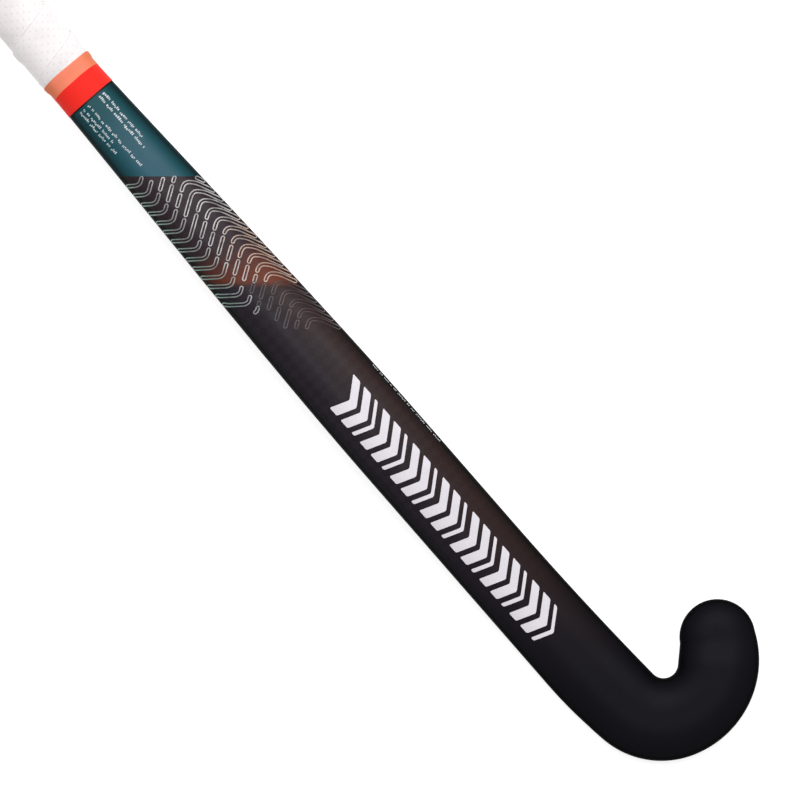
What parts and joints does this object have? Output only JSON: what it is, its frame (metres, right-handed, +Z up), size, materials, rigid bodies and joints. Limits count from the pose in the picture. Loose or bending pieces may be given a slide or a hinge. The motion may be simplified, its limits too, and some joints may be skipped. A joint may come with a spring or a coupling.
{
  "type": "field hockey stick",
  "caption": "Bowed composite field hockey stick with a hooked head, flat playing face, rounded back, cushioned grip and butt cap.",
  "frame": {"origin": "on the surface that the stick lies on, face down, under the middle of the whole stick's box", "axes": "+X from the butt towards the head, +Y from the heel towards the toe, +Z up, out of the rounded back"},
  "size_m": [0.927, 0.1201, 0.0435],
  "materials": {
    "carbon_shell": "satin clear coat over black carbon laminate",
    "inner_laminate": "plain cured carbon and glass laminate",
    "face_laminate": "plain cured aramid and carbon laminate",
    "light_foam": "closed-cell foam",
    "core_foam": "dense polyurethane foam",
    "damper_gel": "soft translucent gel",
    "plug_foam": "rigid foam plug",
    "butt_rubber": "matt moulded rubber",
    "underwrap_foam": "thin foam tape",
    "grip_polyurethane": "tacky cushioned polyurethane",
    "orange_tape": "satin finishing tape",
    "red_band": "satin coloured band",
    "white_print": "white ink under the clear coat",
    "silver_print": "silver ink under the clear coat"
  },
  "bodies": {
    "root": {"outer_shell": "carbon_shell", "toe_side_tube": "inner_laminate", "heel_side_tube": "inner_laminate", "toe_side_foam": "light_foam", "heel_side_foam": "light_foam", "head_core": "core_foam", "face_patch": "face_laminate", "gel_damper": "damper_gel", "handle_plug": "plug_foam", "end_cap": "butt_rubber", "grip_underwrap": "underwrap_foam", "grip_wrap": "grip_polyurethane", "finishing_tape": "orange_tape", "collar_band": "red_band"}
  },
  "joints": []
}
